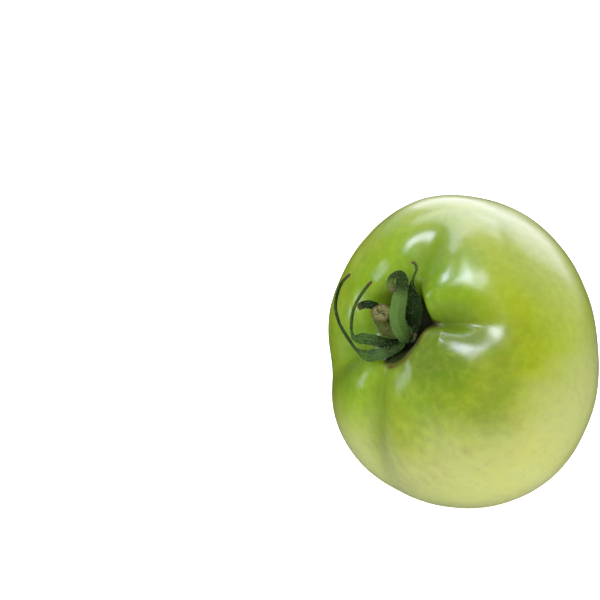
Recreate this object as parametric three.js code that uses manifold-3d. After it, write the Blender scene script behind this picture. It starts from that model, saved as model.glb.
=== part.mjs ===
// A green beefsteak tomato as picked, lying on its side with the stem end turned up and forward.
// Millimetres, +Z up. The fruit, its calyx and its cut stalk are three separate solids.
// Each one is shaped upright in the stem frame, whose +Z runs out of the stem end from the middle of
// the fruit, and is then turned and set down on the fruit's small flat spot.
import * as THREE from "three";
import { mergeVertices } from "three/addons/utils/BufferGeometryUtils.js";
import Module from "manifold-3d";

const wasm = await Module();
wasm.setup();

// How the fruit lies: where its stem axis points, and where the middle of its equator is
const STEM_AXIS = new THREE.Vector3(-0.794, -0.505, 0.338).normalize();
const MIDDLE = new THREE.Vector3(-1.86, 1, 41);

// Fruit
const EQUATOR_RADIUS = 45.5;
const SHOULDER_HEIGHT = 33;
const BLOSSOM_HEIGHT = 33.5;
const FULLNESS = 2.33;
const LEAN = new THREE.Vector2(7.6, 4.4);
const CAVITY = {
  middle: new THREE.Vector2(7.5, 6),
  hollows: [
    { depth: 4, radius: 18, power: 2 },
    { depth: 11, radius: 9.5, power: 4 },
  ],
};
const DIMPLE = {
  middle: new THREE.Vector2(0, 0),
  hollows: [{ depth: 2.6, radius: 8, power: 2 }],
};
const RINGS = 52;
const MERIDIANS = 80;
const RING_CROWDING = 0.35;

// Furrows run from the cavity out over the shoulder. at and bend are degrees of azimuth, end is the
// polar angle where the furrow has faded out, deep and wide are its size at the cavity's rim, and
// spread is how much wider it grows, as a share. CREASE is how round its bottom is, as a share too.
const RIM_ANGLE = 24;
const FURROWS = [
  { at: 0, bend: -4, end: 95, deep: 6, wide: 2.4, spread: 5 },
  { at: -108, bend: -12, end: 110, deep: 3.2, wide: 3, spread: 2.2 },
  { at: -172, bend: -11, end: 110, deep: 6.2, wide: 4.4, spread: 2.2 },
  { at: 57, bend: -1, end: 87, deep: 3.8, wide: 5.4, spread: 2.2 },
  { at: 122, bend: -3, end: 83, deep: 1.2, wide: 4.6, spread: 2.2 },
];
const CREASE = 0.57;

// Low swellings of the equator: share of the radius, times round, and where the first one peaks
const SWELLINGS = [
  { share: 0.023, waves: 2, peak: -36 },
  { share: 0.024, waves: 3, peak: 73 },
];

// Calyx: a low dome on the floor of the cavity, and the sepals that grow out of it. Each sepal's
// middle line runs from the root through x, y, z places in the stem frame. wide is its widest, tip
// its width at the tip, narrow the two shares of its length between which it thins to that, and
// twist the degrees that its face turns by at half its length.
const DOME = { middle: new THREE.Vector3(4.6, 3.4, 20.8), radius: 3.6, height: 2.3, sides: 20, rings: 8 };
const ROOT = new THREE.Vector3(4.6, 3.4, 21.9);
const SEPALS = [
  {
    wide: 3.2,
    tip: 0.9,
    narrow: [0.4, 0.54],
    twist: -60,
    line: [[2.5, 0.2, 23.7], [1.2, -0.1, 26.3], [-0.1, 0.7, 29.2], [-2.8, 1.5, 31], [-6.2, 2.2, 32.2],
      [-6.7, 3.6, 32.7], [-6.7, 6, 32.8], [-5.3, 10.3, 33], [-1.5, 14.5, 32.8], [1.2, 17.5, 31.6]],
  },
  {
    wide: 3.6,
    tip: 0.9,
    narrow: [0.28, 0.42],
    twist: -75,
    line: [[4.2, -0.2, 23.4], [3.7, -2.2, 25.7], [2.3, -3.3, 28.7], [-1, -3.6, 31], [-5, -1.6, 32],
      [-8.5, 2.2, 32.4], [-13, 8, 32.4], [-15.6, 14, 31.4], [-13.5, 19.3, 31], [-9.2, 21.5, 31]],
  },
  {
    wide: 3,
    tip: 2,
    narrow: [0.5, 1],
    twist: 0,
    line: [[1.2, 5.6, 22.4], [-0.9, 7.9, 25.6], [-0.2, 10.8, 29.6], [-2.8, 11.4, 31], [-5.9, 11, 31]],
  },
  {
    wide: 4.6,
    tip: 2.4,
    narrow: [0.4, 1],
    twist: -45,
    line: [[6.6, 0.6, 22.8], [7.8, 1.6, 25.6], [8.6, 3.6, 28], [10, 6.4, 29.8], [12.3, 9.6, 31],
      [14.5, 12.5, 32], [16.6, 14.9, 33.5], [17.3, 16, 35.3], [16.3, 15, 36.8], [15, 13, 36], [15.2, 11.6, 34.6]],
  },
  {
    wide: 6.5,
    tip: 0.7,
    narrow: [0.35, 0.75],
    twist: 50,
    line: [[8, 5, 22.6], [11.4, 8, 25], [13.6, 11.3, 27], [15.6, 13.9, 29], [18.3, 15.9, 30.6],
      [20.7, 17.5, 31.6], [20.9, 18.9, 32.3], [19.8, 19.4, 32.8]],
  },
  {
    wide: 4,
    tip: 1,
    narrow: [0.3, 1],
    twist: 0,
    line: [[7.8, 1.7, 22.2], [11, 0.9, 23.7], [13.4, 0.5, 25.5], [14.6, 0.2, 27.2]],
  },
];
const BLADE = { root: 2.7, thick: 0.9, cup: 0.25, sides: 10, stations: 32 };

// Pedicel: the cut stalk, which bends towards its cut end past a knuckle
const STALK = {
  line: [[4.6, 3.6, 24.1], [4.2, 3.7, 25], [2.6, 4.9, 26.6], [2.7, 6.9, 29], [4.4, 7.9, 31]],
  radius: 2.1,
  flare: 0.8,
  knuckle: { along: 0.45, swell: 0.45, long: 0.12 },
  ridge: { count: 5, deep: 0.12 },
  sides: 20,
  stations: 24,
};

const radians = THREE.MathUtils.degToRad;
const smoothstep = THREE.MathUtils.smoothstep;

// The plain section of the fruit at a polar angle: distance from the axis and height
function section(angle) {
  const power = 2 / FULLNESS;
  const height = angle < Math.PI / 2 ? SHOULDER_HEIGHT : BLOSSOM_HEIGHT;
  const c = Math.cos(angle);
  return new THREE.Vector2(
    EQUATOR_RADIUS * Math.sin(angle) ** power,
    height * Math.sign(c) * Math.abs(c) ** power,
  );
}

// The direction out of the section at a polar angle
function outward(angle) {
  const step = 0.01;
  const before = section(Math.max(angle - step, 1e-6));
  const after = section(Math.min(angle + step, Math.PI - 1e-6));
  return new THREE.Vector2(before.y - after.y, after.x - before.x).normalize();
}

// How deep a dent in either end of the fruit is at a point
function dentDepth(dent, x, y) {
  const distance = Math.hypot(x - dent.middle.x, y - dent.middle.y);
  let depth = 0;
  for (const h of dent.hollows) depth += h.depth * Math.exp(-((distance / h.radius) ** h.power));
  return depth;
}

// How far the furrows sink the skin at a polar angle and azimuth
function furrowDepth(angle, azimuth, radius) {
  const rim = radians(RIM_ANGLE);
  let depth = 0;
  for (const furrow of FURROWS) {
    const end = radians(furrow.end);
    const along = (angle - rim) / (end - rim);
    const line = radians(furrow.at + furrow.bend * THREE.MathUtils.clamp(along, 0, 1));
    const aside = Math.atan2(Math.sin(azimuth - line), Math.cos(azimuth - line)) * radius;
    const wide = furrow.wide * (1 + furrow.spread * Math.max(along, 0));
    const crease = CREASE * wide;
    const fade = along < 0 ? smoothstep(angle, 0, rim) : (1 - smoothstep(along, 0, 1)) ** 1.5;
    depth += furrow.deep * fade * Math.exp((crease - Math.hypot(aside, crease)) / wide);
  }
  return depth;
}

function swelling(azimuth) {
  let share = 1;
  for (const s of SWELLINGS) share += s.share * Math.cos(s.waves * (azimuth - radians(s.peak)));
  return share;
}

// A point of the skin in the stem frame
function skin(angle, azimuth) {
  const place = section(angle);
  const sunk = furrowDepth(angle, azimuth, place.x);
  place.addScaledVector(outward(angle), -sunk);
  const radius = place.x * swelling(azimuth);
  const lean = THREE.MathUtils.clamp(place.y / SHOULDER_HEIGHT, 0, 1) ** 2;
  const x = radius * Math.cos(azimuth) + LEAN.x * lean;
  const y = radius * Math.sin(azimuth) + LEAN.y * lean;
  const dent = place.y > 0 ? -dentDepth(CAVITY, x, y) : dentDepth(DIMPLE, x, y);
  return new THREE.Vector3(x, y, place.y + dent);
}

// Turns the stem frame to where the fruit lies
function restingPlace() {
  const u = new THREE.Vector3(1, 0, 0).addScaledVector(STEM_AXIS, -STEM_AXIS.x).normalize();
  const v = new THREE.Vector3().crossVectors(STEM_AXIS, u);
  return new THREE.Matrix4().makeBasis(u, v, STEM_AXIS).setPosition(MIDDLE);
}

// A closed geometry with shared vertices as a solid, and back
function solidOf(geometry) {
  geometry.deleteAttribute("normal");
  geometry.deleteAttribute("uv");
  const merged = mergeVertices(geometry, 1e-4);
  return new wasm.Manifold(
    new wasm.Mesh({
      numProp: 3,
      vertProperties: merged.attributes.position.array,
      triVerts: new Uint32Array(merged.index.array),
    }),
  );
}

function geometryOf(solid) {
  const mesh = solid.getMesh();
  const geometry = new THREE.BufferGeometry();
  geometry.setAttribute("position", new THREE.BufferAttribute(mesh.vertProperties, 3));
  geometry.setIndex(new THREE.BufferAttribute(mesh.triVerts, 1));
  return geometry;
}

function fruitGeometry() {
  const ball = new THREE.SphereGeometry(1, MERIDIANS, RINGS);
  const place = ball.attributes.position;
  for (let i = 0; i < place.count; i++) {
    const even = Math.acos(THREE.MathUtils.clamp(place.getY(i), -1, 1));
    const angle = even - (RING_CROWDING * Math.sin(2 * even)) / 2;
    const point = skin(angle, Math.atan2(-place.getZ(i), place.getX(i)));
    place.setXYZ(i, point.x, point.y, point.z);
  }
  ball.applyMatrix4(restingPlace());
  const under = new THREE.BoxGeometry(120, 120, 40).translate(0, 0, -20);
  return geometryOf(solidOf(ball).subtract(solidOf(under)));
}

// Bends a cylinder along a middle line. shape gives each point's place across the line: sideways,
// and up towards facing, from its direction round the section and its share of the way out and along.
function alongLine(line, facing, twist, sides, stations, shape) {
  const curve = new THREE.CatmullRomCurve3(line, false, "centripetal");
  const rod = new THREE.CylinderGeometry(1, 1, 1, sides, stations);
  const place = rod.attributes.position;
  const frames = [];
  let up = facing.clone();
  for (let i = 0; i <= stations; i++) {
    const tangent = curve.getTangentAt(i / stations);
    up = up.addScaledVector(tangent, -up.dot(tangent)).normalize();
    const turned = up.clone().applyAxisAngle(tangent, twist * Math.sin((Math.PI * i) / stations));
    const side = new THREE.Vector3().crossVectors(tangent, turned);
    frames.push({ middle: curve.getPointAt(i / stations), up: turned, side });
  }
  for (let i = 0; i < place.count; i++) {
    const along = place.getY(i) + 0.5;
    const frame = frames[Math.round(along * stations)];
    const out = Math.hypot(place.getX(i), place.getZ(i));
    const across = shape(Math.atan2(place.getZ(i), place.getX(i)), out, along);
    const point = frame.middle.clone().addScaledVector(frame.side, across.x);
    point.addScaledVector(frame.up, across.y);
    place.setXYZ(i, point.x, point.y, point.z);
  }
  return rod;
}

function bladeWidth(sepal, along) {
  const full = THREE.MathUtils.lerp(BLADE.root, sepal.wide, smoothstep(along, 0, 0.25));
  return THREE.MathUtils.lerp(full, sepal.tip, smoothstep(along, ...sepal.narrow));
}

function sepalGeometry(sepal) {
  const line = [ROOT, ...sepal.line.map((p) => new THREE.Vector3(...p))];
  const facing = new THREE.Vector3(0, 0, 1);
  const shape = (turn, out, along) => {
    const half = bladeWidth(sepal, along) / 2;
    const x = half * out * Math.cos(turn);
    const cup = BLADE.cup * Math.max(half - BLADE.thick / 2, 0) * (x / half) ** 2;
    return new THREE.Vector2(x, (BLADE.thick / 2) * out * Math.sin(turn) + cup);
  };
  return alongLine(line, facing, radians(sepal.twist), BLADE.sides, BLADE.stations, shape);
}

function calyxGeometry() {
  const dome = new THREE.SphereGeometry(1, DOME.sides, DOME.rings);
  dome.rotateX(Math.PI / 2);
  dome.scale(DOME.radius, DOME.radius, DOME.height / 2);
  dome.translate(DOME.middle.x, DOME.middle.y, DOME.middle.z + DOME.height / 2);
  let calyx = solidOf(dome);
  for (const sepal of SEPALS) calyx = calyx.add(solidOf(sepalGeometry(sepal)));
  return geometryOf(calyx).applyMatrix4(restingPlace());
}

function pedicelGeometry() {
  const line = STALK.line.map((p) => new THREE.Vector3(...p));
  const shape = (turn, out, along) => {
    const swell = Math.exp(-(((along - STALK.knuckle.along) / STALK.knuckle.long) ** 2));
    const ridges = STALK.ridge.deep * Math.cos(STALK.ridge.count * turn);
    const radius = STALK.radius + STALK.flare * along + STALK.knuckle.swell * swell + ridges;
    return new THREE.Vector2(Math.cos(turn), Math.sin(turn)).multiplyScalar(radius * out);
  };
  const stalk = alongLine(line, new THREE.Vector3(1, 0, 0), 0, STALK.sides, STALK.stations, shape);
  return geometryOf(solidOf(stalk)).applyMatrix4(restingPlace());
}

const tomato = new THREE.Group();
const fruit = new THREE.Mesh(
  fruitGeometry(),
  new THREE.MeshStandardMaterial({ color: 0x9cb52a, roughness: 0.25, metalness: 0 }),
);
fruit.name = "fruit";
tomato.add(fruit);

const calyx = new THREE.Mesh(
  calyxGeometry(),
  new THREE.MeshStandardMaterial({ color: 0x3f5c26, roughness: 0.6, metalness: 0 }),
);
calyx.name = "calyx";
tomato.add(calyx);

const pedicel = new THREE.Mesh(
  pedicelGeometry(),
  new THREE.MeshStandardMaterial({ color: 0x707336, roughness: 0.7, metalness: 0 }),
);
pedicel.name = "pedicel";
tomato.add(pedicel);

export default tomato;
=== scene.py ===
# A green beefsteak tomato lying as it was picked: fine skin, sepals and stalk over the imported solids.
# Lengths in the tables below are millimetres in the stem frame, whose +Z runs out of the stem end
# from the middle of the fruit. Everything is turned and set down in metres at the end.
import math
import random

import bmesh
import bpy
from mathutils import Matrix, Vector, noise


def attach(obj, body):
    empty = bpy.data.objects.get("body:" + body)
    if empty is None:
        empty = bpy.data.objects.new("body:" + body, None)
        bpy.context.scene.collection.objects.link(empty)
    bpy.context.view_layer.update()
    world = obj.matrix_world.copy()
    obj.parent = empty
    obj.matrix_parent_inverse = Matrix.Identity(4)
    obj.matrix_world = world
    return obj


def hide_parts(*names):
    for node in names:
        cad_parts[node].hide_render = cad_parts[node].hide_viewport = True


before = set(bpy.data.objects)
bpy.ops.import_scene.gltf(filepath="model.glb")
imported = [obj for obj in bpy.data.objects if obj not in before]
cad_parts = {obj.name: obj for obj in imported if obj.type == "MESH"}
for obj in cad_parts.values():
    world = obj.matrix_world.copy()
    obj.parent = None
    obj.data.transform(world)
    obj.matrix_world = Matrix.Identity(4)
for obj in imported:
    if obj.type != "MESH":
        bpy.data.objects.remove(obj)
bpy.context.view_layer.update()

MM = 0.001
scene = bpy.context.scene

# How the fruit lies, as in the solids
STEM_AXIS = Vector((-0.794, -0.505, 0.338)).normalized()
MIDDLE = Vector((-1.86, 1, 41))

# Camera: it looks down at the fruit's middle, which stands at this pixel of the 600 pixel frame
FRAME_PIXELS = 600
PIXELS_PER_MM = 3.457
MIDDLE_PIXEL = Vector((454.5, 354.7))
CAMERA_PITCH = math.radians(22)
CAMERA_DISTANCE = 700
SENSOR = 36
NEAREST = 0.01

# Fruit: a superellipse of this fullness turned round the stem axis, with a shoulder that leans aside.
# The two SOFT values round off the passage over the equator. A hollow is its depth, its radius and
# how steep its side is.
EQUATOR_RADIUS = 45.5
SHOULDER_HEIGHT = 33
BLOSSOM_HEIGHT = 33.5
FULLNESS = 2.33
EQUATOR_SOFT = 0.15
LEAN = Vector((7.6, 4.4))
LEAN_SOFT = 8
CAVITY = {"middle": Vector((7.5, 6)), "hollows": [(4, 18, 2), (11, 9.5, 4)]}
DIMPLE = {"middle": Vector((0, 0)), "hollows": [(2.6, 8, 2)]}

# Furrows run from the cavity's rim out over the shoulder. at and bend are degrees of azimuth, end is
# the polar angle where the furrow has faded out, deep and wide are its size at the rim, and spread
# is how much wider it grows, as a share. CREASE is how round its bottom is, as a share too, and
# FURROW_FADE how soon it gets shallow.
RIM_ANGLE = math.radians(24)
FURROWS = [
    {"at": 0, "bend": -4, "end": 95, "deep": 6, "wide": 2.4, "spread": 5},
    {"at": -108, "bend": -12, "end": 110, "deep": 3.2, "wide": 3, "spread": 2.2},
    {"at": -172, "bend": -11, "end": 110, "deep": 6.2, "wide": 4.4, "spread": 2.2},
    {"at": 57, "bend": -1, "end": 87, "deep": 3.8, "wide": 5.4, "spread": 2.2},
    {"at": 122, "bend": -3, "end": 83, "deep": 1.2, "wide": 4.6, "spread": 2.2},
]
CREASE = 0.57
FURROW_FADE = 1.5

# Low swellings of the equator: share of the radius, times round, and where the first one peaks
SWELLINGS = [(0.023, 2, -36), (0.024, 3, 73)]

# The skin's slow waves and small dimples: how high they are and how close together
WAVES = {"high": 0.35, "round": 2.2, "along": 1.6}
PITS = {"high": 0.06, "close": 7}

# The cavity's skin is painted with shade over these shares of its depth. Its near wall overhangs the calyx
# between these degrees round it, and its painted shade starts at its rim. A cork line runs along that rim,
# where the painted shade is at the share called shade, and a faint haze past it fades out between two
# polar angles. strong is how corky the line is, ragged how much that varies, and close how soon.
SHADE = {"far": (0.5, 0.9), "near": (0.13, 0.21)}
NEAR_WALL = {"starts": (-132, -112), "ends": (-12, 8)}
CORK_LINE = {
    "shade": 0.3,
    "wide": 0.25,
    "strong": 0.7,
    "ragged": 0.5,
    "close": 0.35,
    "slice": 3,
    "fades": (math.radians(52), math.radians(96)),
}

SKIN_RINGS = 230
SKIN_MERIDIANS = 360
RING_CROWDING = 0.35

# Calyx. Each sepal's middle line runs from the root through places in the stem frame. wide is its
# widest, tip its width at the tip, narrow the shares of its length between which it thins to that,
# and twist the degrees that its face turns by at half its length. deep are the shares of its length
# between which it is painted with shade, and those between which that painted shade clears again.
DOME = {"middle": Vector((4.6, 3.4, 20.8)), "radius": 3.6, "height": 2.3, "sides": 48, "rings": 24}
ROOT = (4.6, 3.4, 21.9)
SEPALS = [
    {
        "wide": 3.2,
        "tip": 0.9,
        "narrow": (0.4, 0.54),
        "twist": -60,
        "deep": (0, 0.05, 0.15, 0.3),
        "line": [(2.5, 0.2, 23.7), (1.2, -0.1, 26.3), (-0.1, 0.7, 29.2), (-2.8, 1.5, 31),
                 (-6.2, 2.2, 32.2), (-6.7, 3.6, 32.7), (-6.7, 6, 32.8), (-5.3, 10.3, 33),
                 (-1.5, 14.5, 32.8), (1.2, 17.5, 31.6)],
    },
    {
        "wide": 3.6,
        "tip": 0.9,
        "narrow": (0.28, 0.42),
        "twist": -75,
        "deep": (0.3, 0.5, 0.9, 1),
        "line": [(4.2, -0.2, 23.4), (3.7, -2.2, 25.7), (2.3, -3.3, 28.7), (-1, -3.6, 31),
                 (-5, -1.6, 32), (-8.5, 2.2, 32.4), (-13, 8, 32.4), (-15.6, 14, 31.4),
                 (-13.5, 19.3, 31), (-9.2, 21.5, 31)],
    },
    {
        "wide": 3,
        "tip": 2,
        "narrow": (0.5, 1),
        "twist": 0,
        "deep": (0.2, 0.5, 0.9, 1),
        "line": [(1.2, 5.6, 22.4), (-0.9, 7.9, 25.6), (-0.2, 10.8, 29.6), (-2.8, 11.4, 31),
                 (-5.9, 11, 31)],
    },
    {
        "wide": 4.6,
        "tip": 2.4,
        "narrow": (0.4, 1),
        "twist": -45,
        "deep": (0.55, 0.68, 0.84, 0.92),
        "line": [(6.6, 0.6, 22.8), (7.8, 1.6, 25.6), (8.6, 3.6, 28), (10, 6.4, 29.8),
                 (12.3, 9.6, 31), (14.5, 12.5, 32), (16.6, 14.9, 33.5), (17.3, 16, 35.3),
                 (16.3, 15, 36.8), (15, 13, 36), (15.2, 11.6, 34.6)],
    },
    {
        "wide": 6.5,
        "tip": 0.7,
        "narrow": (0.35, 0.75),
        "twist": 50,
        "deep": (0, 0.1, 0.65, 0.8),
        "line": [(8, 5, 22.6), (11.4, 8, 25), (13.6, 11.3, 27), (15.6, 13.9, 29),
                 (18.3, 15.9, 30.6), (20.7, 17.5, 31.6), (20.9, 18.9, 32.3), (19.8, 19.4, 32.8)],
    },
    {
        "wide": 4,
        "tip": 1,
        "narrow": (0.3, 1),
        "twist": 0,
        "deep": (0, 0.1, 0.9, 1),
        "line": [(7.8, 1.7, 22.2), (11, 0.9, 23.7), (13.4, 0.5, 25.5), (14.6, 0.2, 27.2)],
    },
]

# The sepals' blades: a blade is leafy above these half widths, with nicks along its edge, ripples,
# rows of side veins and a midrib with a groove on its upper side. apart keeps noises from each other.
BLADE = {
    "root": 2.7,
    "root_long": 0.25,
    "thick": 0.9,
    "thin_edge": 0.5,
    "cup": 0.25,
    "root_round": 0.015,
    "tip_round": 0.02,
    "sides": 40,
    "stations": 150,
}
LEAFY = (0.5, 1.2)
NICKS = {"deep": 0.07, "close": 26, "apart": 3}
RIPPLE = {"high": 0.3, "along": 9, "across": 1.2, "apart": 7}
VEINS = {"high": 0.03, "many": 22, "slant": 2.2}
MIDRIB = {"wide": 0.3, "groove": 0.16, "groove_wide": 0.12}
SEPALS_APART = 5.3

# Pedicel. Its cut face starts at the share of the way called face. The places of the lip, the dish
# and the cracks in that face are shares of its radius.
STALK = {
    "line": [(4.6, 3.5, 22.6), (4.2, 3.7, 25), (2.6, 4.9, 26.6), (2.7, 6.9, 29), (4.4, 7.9, 31)],
    "radius": 2.1,
    "flare": 0.8,
    "knuckle": 0.45,
    "knuckle_swell": 0.45,
    "knuckle_long": 0.12,
    "ridges": 5,
    "ridge_deep": 0.12,
    "root_round": 0.02,
    "face": 0.8,
    "sides": 96,
    "stations": 150,
}
LIP = {"high": 0.12, "out": 0.86, "wide": 0.08}
DISH = {"deep": 0.12, "rim": 0.8, "slope": 0.3}
CRACK_DEEP = 0.25
LONG_CRACK = {"bend": 0.09, "turns": 6, "wide": 0.07, "fades": (0.45, 0.75)}
SHORT_CRACK = {"low": 0.15, "slant": 0.3, "wide": 0.06, "starts": (0, 0.1), "fades": (0.3, 0.5)}

# Down on the calyx and the stalk: how many hairs each has, and how deep their feet are sunk
DOWN = {
    "on_calyx": 2200,
    "on_stalk": 300,
    "long": (0.3, 0.8),
    "radius": 0.05,
    "tip_share": 0.2,
    "slant": 0.5,
    "sunk": 0.02,
}


def clamp(value, low=0.0, high=1.0):
    return min(max(value, low), high)


def smoothstep(value, low, high):
    share = clamp((value - low) / (high - low))
    return share * share * (3 - 2 * share)


def lerp(low, high, share):
    return low + (high - low) * share


def resting_place():
    """Turns the stem frame in millimetres to where the fruit lies, in metres."""
    across = (Vector((1, 0, 0)) - STEM_AXIS * STEM_AXIS.x).normalized()
    turn = Matrix((across, STEM_AXIS.cross(across), STEM_AXIS)).transposed().to_4x4()
    return Matrix.Scale(MM, 4) @ Matrix.Translation(MIDDLE) @ turn


REST = resting_place()


# Pieces

def finish_piece(name, bm, material, slot, *replaced):
    """Makes a named object of a mesh that is in the stem frame, dressed and bound to the frame."""
    bm.transform(REST)
    mesh = bpy.data.meshes.new(name)
    bm.to_mesh(mesh)
    bm.free()
    mesh.shade_smooth()
    piece = bpy.data.objects.new(name, mesh)
    scene.collection.objects.link(piece)
    mesh.materials.append(material)
    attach(piece, "root")
    if replaced:
        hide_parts(*replaced)


class Line:
    """A smooth line through places, measured along its length: a centripetal Catmull-Rom spline."""

    STEPS = 600
    NEAR = 0.004

    def __init__(self, places):
        places = [Vector(p) for p in places]
        first = places[0] * 2 - places[1]
        last = places[-1] * 2 - places[-2]
        self.places = [first, *places, last]
        self.spans = len(places) - 1
        self.samples = [self.spline(i / self.STEPS) for i in range(self.STEPS + 1)]
        self.lengths = [0.0]
        for a, b in zip(self.samples, self.samples[1:]):
            self.lengths.append(self.lengths[-1] + (b - a).length)

    def spline(self, share):
        span = min(int(share * self.spans), self.spans - 1)
        p = self.places[span:span + 4]
        knots = [0.0]
        for a, b in zip(p, p[1:]):
            knots.append(knots[-1] + (b - a).length ** 0.5)
        t = lerp(knots[1], knots[2], share * self.spans - span)
        while len(p) > 1:
            reach = 5 - len(p)
            if len(p) == 2:
                return p[0].lerp(p[1], (t - knots[1]) / (knots[2] - knots[1]))
            starts = range(len(p) - 1)
            p = [p[i].lerp(p[i + 1], (t - knots[i]) / (knots[i + reach] - knots[i])) for i in starts]

    def at(self, share):
        """The place at a share of the length."""
        want = clamp(share) * self.lengths[-1]
        low, high = 0, self.STEPS
        while high - low > 1:
            half = (low + high) // 2
            if self.lengths[half] <= want:
                low = half
            else:
                high = half
        step = self.lengths[high] - self.lengths[low]
        return self.samples[low].lerp(self.samples[high], (want - self.lengths[low]) / step)

    def frames(self, count, facing, twist):
        """Places along the line with their side, up and forward directions, carried without spin."""
        frames = []
        up = Vector(facing)
        for i in range(count + 1):
            share = i / count
            forward = (self.at(share + self.NEAR) - self.at(share - self.NEAR)).normalized()
            up = (up - forward * up.dot(forward)).normalized()
            turned = Matrix.Rotation(twist * math.sin(math.pi * share), 3, forward) @ up
            frames.append((self.at(share), turned.cross(forward), turned, forward))
        return frames


def rod(bm, frames, sides, stations, shape):
    """Adds a rod with closed ends along frames, the last of which serves any stations left over.
    shape gives sideways, up and forward from the turn round the rod and the station's share of the
    way, and what to note on the point."""
    ball = bmesh.ops.create_uvsphere(bm, u_segments=sides, v_segments=stations, radius=1)
    for vert in ball["verts"]:
        station = round(math.acos(clamp(-vert.co.z, -1, 1)) / math.pi * stations)
        turn = math.atan2(vert.co.y, vert.co.x)
        place, notes = shape(turn, station / stations)
        middle, side, up, forward = frames[min(station, len(frames) - 1)]
        vert.co = middle + side * place.x + up * place.y + forward * place.z
        for layer, value in notes.items():
            vert[bm.verts.layers.float[layer]] = value


# Fruit

def section(angle):
    """The plain section of the fruit at a polar angle: distance from the axis, and height."""
    power = 2 / FULLNESS
    height = SHOULDER_HEIGHT if angle < math.pi / 2 else BLOSSOM_HEIGHT
    c = math.cos(angle)
    rise = c * (c * c + EQUATOR_SOFT ** 2) ** ((power - 1) / 2)
    return Vector((EQUATOR_RADIUS * math.sin(angle) ** power, height * rise))


def outward(angle):
    """The direction out of the plain section at a polar angle."""
    step = 0.01
    before = section(max(angle - step, 1e-6))
    after = section(min(angle + step, math.pi - 1e-6))
    return Vector((before.y - after.y, after.x - before.x)).normalized()


def dent_depth(dent, x, y):
    """How deep the cavity or the dimple is at a place beside the stem axis."""
    distance = math.hypot(x - dent["middle"].x, y - dent["middle"].y)
    hollows = dent["hollows"]
    return sum(deep * math.exp(-((distance / radius) ** power)) for deep, radius, power in hollows)


def furrow_depth(angle, azimuth, radius):
    """How deep the furrows are at a polar angle and an azimuth."""
    depth = 0
    for furrow in FURROWS:
        along = (angle - RIM_ANGLE) / (math.radians(furrow["end"]) - RIM_ANGLE)
        line = math.radians(furrow["at"] + furrow["bend"] * clamp(along))
        aside = math.atan2(math.sin(azimuth - line), math.cos(azimuth - line)) * radius
        wide = furrow["wide"] * (1 + furrow["spread"] * max(along, 0))
        if along < 0:
            fade = smoothstep(angle, 0, RIM_ANGLE)
        else:
            fade = (1 - smoothstep(along, 0, 1)) ** FURROW_FADE
        crease = CREASE * wide
        depth += furrow["deep"] * fade * math.exp((crease - math.hypot(aside, crease)) / wide)
    return depth


def lean_share(height):
    """The share of the shoulder's height above the equator, with a soft start there."""
    return (math.hypot(height, LEAN_SOFT) + height) / 2 / SHOULDER_HEIGHT


def swelling(azimuth):
    """How many times its plain radius the fruit has at an azimuth."""
    swell = 1
    for share, waves, peak in SWELLINGS:
        swell += share * math.cos(waves * (azimuth - math.radians(peak)))
    return swell


def near_wall(x, y):
    """From 0 to 1: whether a place is on the side of the cavity that overhangs the calyx."""
    around = math.degrees(math.atan2(y - CAVITY["middle"].y, x - CAVITY["middle"].x))
    return smoothstep(around, *NEAR_WALL["starts"]) * (1 - smoothstep(around, *NEAR_WALL["ends"]))


def hollow_shade(x, y, dent):
    """How much painted shade the skin gets inside the stem cavity. The near wall gets it from its rim on.
    """
    share = dent / sum(hollow[0] for hollow in CAVITY["hollows"])
    near = near_wall(x, y)
    low, high = (lerp(far, close, near) for far, close in zip(SHADE["far"], SHADE["near"]))
    return smoothstep(share, low, high)


def rim_cork(x, y, shade, angle):
    """How corky the skin is: a thin ragged line along the near wall's rim, and past it a faint haze
    that is gone at the equator."""
    aside = (shade - CORK_LINE["shade"]) / CORK_LINE["wide"]
    where = Vector((x * CORK_LINE["close"], y * CORK_LINE["close"], CORK_LINE["slice"]))
    strength = CORK_LINE["strong"] + CORK_LINE["ragged"] * noise.noise(where)
    left = 1 - smoothstep(angle, *CORK_LINE["fades"])
    return clamp(near_wall(x, y) * strength * left * math.exp(-(aside ** 2)))


def unevenness(angle, azimuth):
    """Slow waves and small dimples of the skin, in millimetres outwards."""
    c, s = math.cos(azimuth), math.sin(azimuth)
    slow = Vector((c * WAVES["round"], s * WAVES["round"], angle * WAVES["along"]))
    facing = Vector((c * math.sin(angle), s * math.sin(angle), math.cos(angle)))
    return WAVES["high"] * noise.noise(slow) + PITS["high"] * noise.noise(facing * PITS["close"])


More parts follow.
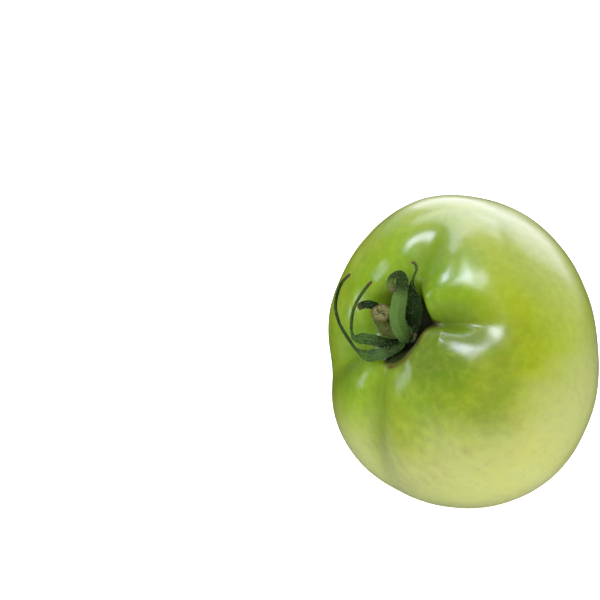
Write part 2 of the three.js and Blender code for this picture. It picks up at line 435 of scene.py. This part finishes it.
def fruit_mesh():
    """The skin: a ball whose rings and meridians are set out on the fruit's form."""
    bm = bmesh.new()
    for name in ("polar", "hollow", "furrow", "cork"):
        bm.verts.layers.float.new(name)
    streak = bm.verts.layers.float_vector.new("streak")
    floats = bm.verts.layers.float
    bmesh.ops.create_uvsphere(bm, u_segments=SKIN_MERIDIANS, v_segments=SKIN_RINGS, radius=1)
    rings = []
    for ring in range(SKIN_RINGS + 1):
        even = math.pi * ring / SKIN_RINGS
        angle = even - RING_CROWDING * math.sin(2 * even) / 2
        rings.append((angle, section(angle), outward(angle)))
    back = REST.inverted()
    for vert in bm.verts:
        azimuth = math.atan2(vert.co.y, vert.co.x)
        angle, place, normal = rings[round(math.acos(clamp(vert.co.z, -1, 1)) / math.pi * SKIN_RINGS)]
        furrow = furrow_depth(angle, azimuth, place.x)
        sunk = place - normal * (furrow - unevenness(angle, azimuth))
        radius = sunk.x * swelling(azimuth)
        lean = LEAN * lean_share(sunk.y) ** 2
        x = radius * math.cos(azimuth) + lean.x
        y = radius * math.sin(azimuth) + lean.y
        dent = dent_depth(CAVITY, x, y) if sunk.y > 0 else 0
        rise = dent_depth(DIMPLE, x, y) if sunk.y <= 0 else 0
        vert.co = (x, y, sunk.y - dent + rise)
        vert[floats["polar"]] = angle / math.pi
        # The painted shade of the stem cavity, kept on the skin under the name hollow
        shade = hollow_shade(x, y, dent)
        vert[floats["hollow"]] = shade
        vert[floats["furrow"]] = furrow
        vert[floats["cork"]] = rim_cork(x, y, shade, angle)
        vert[streak] = (math.cos(azimuth), math.sin(azimuth), angle / math.pi)
    for vert in bm.verts:
        rested = REST @ vert.co
        rested.z = max(rested.z, 0)
        vert.co = back @ rested
    return bm


# Calyx

def blade_width(sepal, along):
    """A sepal's width at a share of its length."""
    full = lerp(BLADE["root"], sepal["wide"], smoothstep(along, 0, BLADE["root_long"]))
    return lerp(full, sepal["tip"], smoothstep(along, *sepal["narrow"]))


def sepal_shape(sepal, seed):
    """The section of a blade with a folded midrib, side veins and a waved, uneven edge."""
    def shape(turn, along):
        across = math.cos(turn)
        half = blade_width(sepal, along) / 2
        leafy = smoothstep(half, *LEAFY)
        end = clamp(min(along / BLADE["root_round"], (1 - along) / BLADE["tip_round"])) ** 0.5
        edge = math.copysign(NICKS["apart"], across)
        nicks = noise.noise(Vector((along * NICKS["close"], edge, seed)))
        x = half * (1 + NICKS["deep"] * leafy * nicks) * end * across
        cup = BLADE["cup"] * max(half - BLADE["thick"] / 2, 0) * across ** 2
        where = Vector((along * RIPPLE["along"], across * RIPPLE["across"], seed + RIPPLE["apart"]))
        ripple = leafy * RIPPLE["high"] * across ** 2 * noise.noise(where)
        rib = math.exp(-(across / MIDRIB["wide"]) ** 2)
        thick = BLADE["thick"] / 2 * lerp(1, lerp(BLADE["thin_edge"], 1, rib), leafy)
        row = along * VEINS["many"] - abs(across) * VEINS["slant"]
        vein = math.sin(row * math.pi * 2) * VEINS["high"] * leafy * (1 - across ** 2)
        groove = 0
        if turn > 0:
            groove = MIDRIB["groove"] * leafy * math.exp(-(across / MIDRIB["groove_wide"]) ** 2)
        y = thick * end * math.sin(turn) + cup + ripple + vein - groove
        # deep is how much painted shade the sepal gets here, where it lies in shadow
        deep = smoothstep(along, *sepal["deep"][:2]) * (1 - smoothstep(along, *sepal["deep"][2:]))
        notes = {"along": along, "across": across, "upper": math.sin(turn), "deep": deep}
        return Vector((x, y, 0)), notes
    return shape


def calyx_mesh():
    """The receptacle's low dome and the sepals that grow out of it."""
    bm = bmesh.new()
    for name in ("along", "across", "upper", "deep"):
        bm.verts.layers.float.new(name)
    dome = bmesh.ops.create_uvsphere(bm, u_segments=DOME["sides"], v_segments=DOME["rings"], radius=1)
    for vert in dome["verts"]:
        x, y, z = vert.co
        vert.co = (x * DOME["radius"], y * DOME["radius"], (z + 1) * DOME["height"] / 2)
        vert.co += DOME["middle"]
    stations = BLADE["stations"]
    for seed, sepal in enumerate(SEPALS):
        line = Line([ROOT, *sepal["line"]])
        frames = line.frames(stations, (0, 0, 1), math.radians(sepal["twist"]))
        rod(bm, frames, BLADE["sides"], stations, sepal_shape(sepal, seed * SEPALS_APART))
    return bm


# Pedicel

def stalk_shape(turn, along):
    """The side of the stalk, and past its share of the way the sunken cut face."""
    share = min(along / STALK["face"], 1)
    swell = math.exp(-(((share - STALK["knuckle"]) / STALK["knuckle_long"]) ** 2))
    ridges = STALK["ridge_deep"] * math.cos(STALK["ridges"] * turn)
    radius = STALK["radius"] + STALK["flare"] * share + STALK["knuckle_swell"] * swell + ridges
    out = clamp((1 - along) / (1 - STALK["face"])) * clamp(along / STALK["root_round"]) ** 0.5
    cut = float(along > STALK["face"])
    crack = crack_depth(math.cos(turn) * out, math.sin(turn) * out)
    lip = LIP["high"] * math.exp(-((out - LIP["out"]) / LIP["wide"]) ** 2)
    dish = DISH["deep"] * smoothstep(DISH["rim"] - out, 0, DISH["slope"])
    forward = cut * (lip - dish - CRACK_DEEP * crack)
    notes = {"out": out, "cut": cut, "crack": crack * cut}
    return Vector((math.cos(turn) * radius * out, math.sin(turn) * radius * out, forward)), notes


def crack_depth(x, y):
    """How deep the cut face has split, from 0 to 1: one long crack with a short branch."""
    aside = x + LONG_CRACK["bend"] * math.sin(y * LONG_CRACK["turns"])
    long = math.exp(-(aside / LONG_CRACK["wide"]) ** 2)
    long *= 1 - smoothstep(abs(y), *LONG_CRACK["fades"])
    aside = y + SHORT_CRACK["low"] + SHORT_CRACK["slant"] * x
    short = math.exp(-(aside / SHORT_CRACK["wide"]) ** 2) * smoothstep(-x, *SHORT_CRACK["starts"])
    short *= 1 - smoothstep(-x, *SHORT_CRACK["fades"])
    return max(long, short)


def pedicel_mesh():
    """The cut stalk. Stations past its face draw in over the end."""
    bm = bmesh.new()
    for name in ("out", "cut", "crack"):
        bm.verts.layers.float.new(name)
    stations = STALK["stations"]
    frames = Line(STALK["line"]).frames(round(stations * STALK["face"]), (1, 0, 0), 0)
    rod(bm, frames, STALK["sides"], stations, stalk_shape)
    return bm


# Down

def down_mesh(source, amount, seed):
    """Fine hairs that stand on the faces of a mesh, slanting a little from its surface."""
    draw = random.Random(seed)
    # Blender gives the faces in another order each run, so they are sorted by their corners before the draw
    source.verts.index_update()
    faces = sorted(source.faces, key=lambda face: sorted(vert.index for vert in face.verts))
    weights = [face.calc_area() for face in faces]
    bm = bmesh.new()
    for face in draw.choices(faces, weights, k=amount):
        long = draw.uniform(*DOWN["long"])
        slant = Vector((draw.uniform(-1, 1), draw.uniform(-1, 1), draw.uniform(-1, 1))) * DOWN["slant"]
        aim = (face.normal + slant).normalized()
        middle = face.calc_center_median() + aim * (long / 2 - DOWN["sunk"])
        turn = aim.to_track_quat("Z", "X").to_matrix().to_4x4()
        tip = DOWN["radius"] * DOWN["tip_share"]
        bmesh.ops.create_cone(
            bm, segments=3, radius1=DOWN["radius"], radius2=tip, depth=long,
            cap_ends=True, matrix=Matrix.Translation(middle) @ turn)
    return bm


# Materials

class Value:
    """A number that varies over a surface: arithmetic on it adds Math nodes."""

    def __init__(self, nodes, socket):
        self.nodes = nodes
        self.socket = socket

    def math(self, operation, first, second):
        return self.nodes.node("ShaderNodeMath", {"operation": operation}, {0: first, 1: second})

    def __add__(self, other):
        return self.math("ADD", self, other)

    def __sub__(self, other):
        return self.math("SUBTRACT", self, other)

    def __rsub__(self, other):
        return self.math("SUBTRACT", other, self)

    def __mul__(self, other):
        return self.math("MULTIPLY", self, other)

    def absolute(self):
        return self.nodes.node("ShaderNodeMath", {"operation": "ABSOLUTE"}, {0: self})

    def clamped(self):
        return self.math("MAXIMUM", self.math("MINIMUM", self, 1.0), 0.0)

    __radd__ = __add__
    __rmul__ = __mul__


class Nodes:
    """The nodes of one tree. Each comes from its type, its settings and what its sockets get."""

    def __init__(self, tree):
        self.tree = tree

    def node(self, kind, settings=None, inputs=None, output=0):
        made = self.tree.nodes.new(kind)
        for key, value in (settings or {}).items():
            setattr(made, key, value)
        for key, value in (inputs or {}).items():
            self.fill(made.inputs[key], value)
        return Value(self, made.outputs[output])

    def fill(self, socket, value):
        if isinstance(value, Value):
            self.tree.links.new(value.socket, socket)
        elif isinstance(value, tuple) and len(value) == 3 and len(socket.default_value) == 4:
            socket.default_value = (*value, 1)
        else:
            socket.default_value = value

    def step(self, value, low, high, start=0.0, end=1.0):
        """start below low, end above high, smooth between."""
        inputs = {"Value": value, "From Min": low, "From Max": high, "To Min": start, "To Max": end}
        return self.node("ShaderNodeMapRange", {"interpolation_type": "SMOOTHSTEP"}, inputs)


class Finish(Nodes):
    """A material made of nodes."""

    def __init__(self, name):
        self.material = bpy.data.materials.new(name)
        self.material.use_nodes = True
        super().__init__(self.material.node_tree)
        self.shader = self.tree.nodes["Principled BSDF"]

    def note(self, name):
        return self.node("ShaderNodeAttribute", {"attribute_name": name}, output="Fac")

    def place(self, name=None):
        if name:
            return self.node("ShaderNodeAttribute", {"attribute_name": name}, output="Vector")
        return self.node("ShaderNodeTexCoord", output="Object")

    def along_axis(self, axis, where):
        return self.node("ShaderNodeSeparateXYZ", {}, {"Vector": where}, output=axis)

    def grain(self, scale, detail, rough, where):
        """Soft noise from 0 to 1."""
        inputs = {"Vector": where, "Scale": scale, "Detail": detail, "Roughness": rough}
        return self.node("ShaderNodeTexNoise", {}, inputs)

    def mix(self, share, first, second):
        """Two colours mixed, through the Mix node's colour sockets."""
        inputs = {0: share, 6: first, 7: second}
        return self.node("ShaderNodeMix", {"data_type": "RGBA"}, inputs, output=2)

    def bump(self, height, distance, strength):
        inputs = {"Height": height, "Distance": distance, "Strength": strength}
        self.set(Normal=self.node("ShaderNodeBump", {}, inputs))

    def set(self, **sockets):
        for key, value in sockets.items():
            self.fill(self.shader.inputs[key.replace("_", " ")], value)


def linear(red, green, blue):
    """A colour given in the screen's 0 to 255 steps, as light."""
    def light(step):
        share = step / 255
        return share / 12.92 if share <= 0.04045 else ((share + 0.055) / 1.055) ** 2.4
    return (light(red), light(green), light(blue))


YELLOW_GREEN = linear(150, 166, 18)
GREEN = linear(124, 160, 10)
DEEP_GREEN = linear(96, 130, 10)
PALE = linear(174, 180, 112)
BLUSH = linear(184, 172, 84)
SPECKLE = linear(178, 190, 66)
CORK = linear(84, 44, 26)
SCAR = linear(128, 108, 66)
PAINTED_CAVITY_SHADE = linear(34, 40, 8)

# Where the skin changes. POLAR ones are shares of the way from the stem end to the blossom end, and
# PATCH ones are levels of a noise. COLLAR_SIDE is the cosine of the azimuth, FURROW_MM a furrow's depth
# for its painted shade, and GROUND metres above the floor, on a plane that slants, for the paleness
# below, partly the skin's own and partly a painted reflection of the floor.
SHOULDER_POLAR = (0.1, 0.36)
DARK_POLAR = (0.3, 0.55)
COLLAR_POLAR = (0.15, 0.32)
PALE_POLAR = (0.45, 0.85)
BLUSH_POLAR = (0.28, 0.45)
SCAR_POLAR = (0.966, 0.984)
GROUND = (0.024, 0.05)
GROUND_SLANT = 0.5
DARK_PATCH = (0.47, 0.68)
BLUSH_PATCH = (0.55, 0.75)
COLLAR_SIDE = (0.2, 0.7)
FURROW_MM = (0.4, 3)


def skin_finish():
    """Bright green at the shoulder, yellower down the sides and pale below, partly a painted reflection of
    the floor, with painted shade in the furrows and the stem cavity, under a clear sheen.
    """
    skin = Finish("green_skin")
    polar = skin.note("polar")
    hollow = skin.note("hollow")
    furrow = skin.note("furrow")
    place = skin.place()
    streak = skin.place("streak")
    height = skin.along_axis("Z", place)
    far = skin.along_axis("X", place)
    facing = skin.along_axis("X", streak)
    patches = skin.grain(34, 2, 0.5, place)
    streaks = skin.grain(3.2, 3, 0.55, streak)
    fine = skin.grain(420, 4, 0.6, place)

    shoulder = 1 - skin.step(polar + (streaks - 0.5) * 0.3, *SHOULDER_POLAR)
    colour = skin.mix(shoulder, YELLOW_GREEN, GREEN)
    dark = skin.step(patches, *DARK_PATCH) * (1 - skin.step(polar, *DARK_POLAR)) * 0.6
    collar = 1 - skin.step(polar + (patches - 0.5) * 0.15, *COLLAR_POLAR)
    collar = collar * skin.step(facing, *COLLAR_SIDE) * 0.55
    colour = skin.mix((dark + collar).clamped(), colour, DEEP_GREEN)
    uneven = (streaks + patches - 1) * 0.02
    # Pale towards the floor: partly the skin's own paler underside, partly a painted reflection of the
    # white floor
    under = 1 - skin.step(height - far * GROUND_SLANT + uneven, *GROUND)
    pale = skin.step(polar + (patches - 0.5) * 0.25, *PALE_POLAR)
    colour = skin.mix((pale * 0.4 + under * 0.85).clamped(), colour, PALE)
    blush = skin.step(skin.grain(30, 2, 0.5, place), *BLUSH_PATCH) * skin.step(polar, *BLUSH_POLAR)
    colour = skin.mix(blush * 0.4, colour, BLUSH)
    colour = skin.mix(((fine - 0.45) * 0.9).clamped(), colour, SPECKLE)
    colour = skin.mix(((0.5 - fine) * 0.8).clamped(), colour, DEEP_GREEN)
    # Painted shade in the furrows, deeper green the deeper they are
    colour = skin.mix(skin.step(furrow, *FURROW_MM) * 0.4, colour, DEEP_GREEN)
    # Painted shade in the stem cavity, mostly shadow over the somewhat darker green of its skin
    colour = skin.mix(hollow, colour, PAINTED_CAVITY_SHADE)
    colour = skin.mix(skin.note("cork"), colour, CORK)
    scar = skin.step(polar + (fine - 0.5) * 0.02, *SCAR_POLAR)
    colour = skin.mix(scar * 0.9, colour, SCAR)

    skin.set(Base_Color=colour, Roughness=0.4 + fine * 0.1, Specular_IOR_Level=0.15)
    # The painted cavity shade takes the coat's sheen away there too
    skin.set(Coat_Weight=0.85 * (1 - hollow), Coat_Roughness=0.2)
    skin.bump(skin.grain(900, 3, 0.55, place), 0.00005, 0.4)
    return skin.material


LEAF = linear(62, 94, 26)
LEAF_DARK = linear(38, 64, 18)
PAINTED_LEAF_SHADE = linear(20, 38, 14)
LEAF_UNDER = linear(88, 118, 54)
LEAF_VEIN = linear(96, 124, 58)
DRY = linear(84, 64, 42)

# Where a sepal changes: shares of a noise, of its thickness, of its half width and of its length
LEAF_MOTTLE = (0.4, 0.62)
UNDERSIDE = (-0.3, 0.1)
RIB_ACROSS = (0.02, 0.14)
DRY_ALONG = (0.86, 1.02)


def leaf_finish():
    """Dark mottled green above, paler below, with a light midrib, a dry tip and painted shade where a
    sepal lies in shadow.
    """
    leaf = Finish("sepal_leaf")
    place = leaf.place()
    mottle = leaf.grain(900, 4, 0.6, place)
    broad = leaf.grain(260, 2, 0.5, place)
    colour = leaf.mix(leaf.step(mottle * 0.5 + broad * 0.5, *LEAF_MOTTLE), LEAF_DARK, LEAF)
    under = 1 - leaf.step(leaf.note("upper"), *UNDERSIDE)
    colour = leaf.mix(under * 0.75, colour, LEAF_UNDER)
    rib = 1 - leaf.step(leaf.note("across").absolute(), *RIB_ACROSS)
    colour = leaf.mix(rib * 0.4, colour, LEAF_VEIN)
    # Painted shade along the stretches of a sepal that lie in shadow
    colour = leaf.mix(leaf.note("deep") * 0.8, colour, PAINTED_LEAF_SHADE)
    dry = leaf.step(leaf.note("along") + (mottle - 0.5) * 0.3, *DRY_ALONG)
    colour = leaf.mix(dry, colour, DRY)
    leaf.set(Base_Color=colour, Roughness=0.6, Specular_IOR_Level=0.1)
    leaf.bump(mottle, 0.0001, 0.6)
    return leaf.material


DOWN_PALE = linear(190, 202, 150)


def down_finish():
    """Pale hairs, some of them greener."""
    down = Finish("pale_down")
    colour = down.mix(down.grain(700, 2, 0.5, down.place()), DOWN_PALE, LEAF)
    down.set(Base_Color=colour, Roughness=0.6, Specular_IOR_Level=0.2)
    return down.material


STALK_GREEN = linear(70, 88, 34)
STALK_BROWN = linear(80, 62, 32)
PITH = linear(124, 122, 70)
PITH_RING = linear(84, 90, 36)
CRACK = linear(34, 24, 12)

# Where the stalk changes: shares of a noise, and of the cut face's radius
STALK_MOTTLE = (0.4, 0.7)
PITH_MOTTLE = (0.42, 0.62)
RIND_OUT = (0.72, 0.9)


def stalk_finish():
    """Green bark going brown, and a pale cut face with a brown rind and dark cracks."""
    stalk = Finish("stalk")
    grain = stalk.grain(1400, 4, 0.65, stalk.place())
    colour = stalk.mix(stalk.step(grain, *STALK_MOTTLE), STALK_GREEN, STALK_BROWN)
    pith = stalk.mix(stalk.step(grain, *PITH_MOTTLE), PITH, PITH_RING)
    pith = stalk.mix(stalk.step(stalk.note("out"), *RIND_OUT) * 0.8, pith, STALK_BROWN)
    pith = stalk.mix(stalk.note("crack") * 0.95, pith, CRACK)
    colour = stalk.mix(stalk.note("cut"), colour, pith)
    stalk.set(Base_Color=colour, Roughness=0.75, Specular_IOR_Level=0.15)
    stalk.bump(grain, 0.0002, 0.7)
    return stalk.material


# Studio. The room turns from dark to bright over ROOM_EDGE, cosines from its bright side, and is
# black below ROOM_FLOOR, cosines from straight up.
ROOM_DARK = 0.02
ROOM_BRIGHT = 1.2
ROOM_SIDE = Vector((0.4, 0.75, 0.5)).normalized()
ROOM_EDGE = (0.1, 0.9)
ROOM_FLOOR = (-0.15, 0.2)
FLOOR_HALF = 3
FLOOR_PALE = (0.9, 0.9, 0.9)
FLOOR_GLOW = 0.95
WHITE = (1.0, 1.0, 1.0)
SHINE_TINT = (0.7, 0.68, 1.0)

# Each softbox: its direction from the fruit, how far it is, its width and height in metres, and its
# watts. The shine ones show only as gloss, and the plain ones light without gloss.
SHINE = {
    "wide_shine": ((-0.32, -0.36, 0.88), 0.9, (0.45, 0.58), 6.5),
    "close_shine": ((-0.32, -0.36, 0.88), 0.89, (0.26, 0.34), 3.6),
    "left_shine": ((-0.7, -0.03, 0.71), 0.9, (0.2, 0.15), 2.2),
    "low_shine": ((-0.95, 0.32, -0.03), 0.9, (0.2, 0.2), 0.5),
    "back_shine": ((-0.1, 0.58, 0.8), 0.9, (1.0, 0.36), 5.5),
    "back_glow": ((0.25, 0.86, 0.46), 0.9, (1.1, 0.5), 4.5),
    "under_shine": ((-0.1, 0.3, -0.95), 0.5, (0.8, 0.8), 0.35),
}
PLAIN = {
    "top_light": ((-0.2, -0.2, 0.95), 0.9, (0.8, 0.8), 5),
    "front_light": ((0.2, -0.95, 0.3), 1.2, (1.2, 1.0), 7.5),
    "left_light": ((-0.9, -0.1, 0.4), 1.2, (0.8, 0.8), 3.8),
}


def add_camera():
    """The camera looks down at the fruit so that its middle stands at its pixel."""
    forward = Vector((0, math.cos(CAMERA_PITCH), -math.sin(CAMERA_PITCH)))
    right = Vector((1, 0, 0))
    up = right.cross(forward)
    aside = (MIDDLE_PIXEL - Vector((FRAME_PIXELS, FRAME_PIXELS)) / 2) / PIXELS_PER_MM
    place = MIDDLE - right * aside.x + up * aside.y - forward * CAMERA_DISTANCE
    lens = bpy.data.cameras.new("camera")
    lens.sensor_width = SENSOR
    lens.lens = SENSOR * CAMERA_DISTANCE * PIXELS_PER_MM / FRAME_PIXELS
    lens.clip_start = NEAREST
    camera = bpy.data.objects.new("camera", lens)
    camera.rotation_mode = "QUATERNION"
    camera.rotation_quaternion = forward.to_track_quat("-Z", "Y")
    camera.location = place * MM
    scene.collection.objects.link(camera)
    scene.camera = camera


def add_softbox(name, box_values, shines):
    """An area light that faces the fruit, for the shine alone or for the plain light alone."""
    direction, distance, size, watts = box_values
    lamp = bpy.data.lights.new(name, "AREA")
    lamp.shape = "RECTANGLE"
    lamp.size, lamp.size_y = size
    lamp.energy = watts
    if shines:
        lamp.color = SHINE_TINT
    box = bpy.data.objects.new(name, lamp)
    direction = Vector(direction).normalized()
    box.location = MIDDLE * MM + direction * distance
    box.rotation_mode = "QUATERNION"
    box.rotation_quaternion = (-direction).to_track_quat("-Z", "Y")
    box.visible_glossy = shines
    box.visible_diffuse = not shines
    scene.collection.objects.link(box)


def add_surroundings():
    """A pale room, bright on the side behind the fruit, dim towards the camera and below."""
    world = bpy.data.worlds.new("studio")
    world.use_nodes = True
    room = Nodes(world.node_tree)
    background = room.tree.nodes["Background"]
    place = room.node("ShaderNodeTexCoord", output="Generated")

    def facing(side):
        inputs = {0: place, 1: side}
        return room.node("ShaderNodeVectorMath", {"operation": "DOT_PRODUCT"}, inputs, "Value")

    bright = room.step(facing(ROOM_SIDE), *ROOM_EDGE, ROOM_DARK, ROOM_BRIGHT)
    above = room.step(facing((0, 0, 1)), *ROOM_FLOOR)
    room.fill(background.inputs["Strength"], bright * above)
    room.fill(background.inputs["Color"], WHITE)
    scene.world = world


def add_floor():
    """A pale floor that glows, so that it shows no shadow and no reflection."""
    bm = bmesh.new()
    bmesh.ops.create_grid(bm, x_segments=1, y_segments=1, size=FLOOR_HALF)
    mesh = bpy.data.meshes.new("floor")
    bm.to_mesh(mesh)
    bm.free()
    floor = bpy.data.objects.new("floor", mesh)
    pale = Finish("pale_floor")
    pale.set(Base_Color=FLOOR_PALE, Roughness=0.7)
    pale.set(Emission_Color=WHITE, Emission_Strength=FLOOR_GLOW)
    mesh.materials.append(pale.material)
    scene.collection.objects.link(floor)
    floor.visible_glossy = False


def add_studio():
    add_floor()
    add_surroundings()
    for name, box_values in SHINE.items():
        add_softbox(name, box_values, True)
    for name, box_values in PLAIN.items():
        add_softbox(name, box_values, False)
    scene.view_settings.view_transform = "Standard"


add_camera()
add_studio()
calyx = calyx_mesh()
pedicel = pedicel_mesh()
pale_down = down_finish()
finish_piece("calyx_down", down_mesh(calyx, DOWN["on_calyx"], seed=3), pale_down, "sepal")
finish_piece("stalk_down", down_mesh(pedicel, DOWN["on_stalk"], seed=4), pale_down, "stalk")
finish_piece("skin", fruit_mesh(), skin_finish(), "skin", "fruit")
finish_piece("sepals", calyx, leaf_finish(), "sepal", "calyx")
finish_piece("cut_stalk", pedicel, stalk_finish(), "stalk", "pedicel")
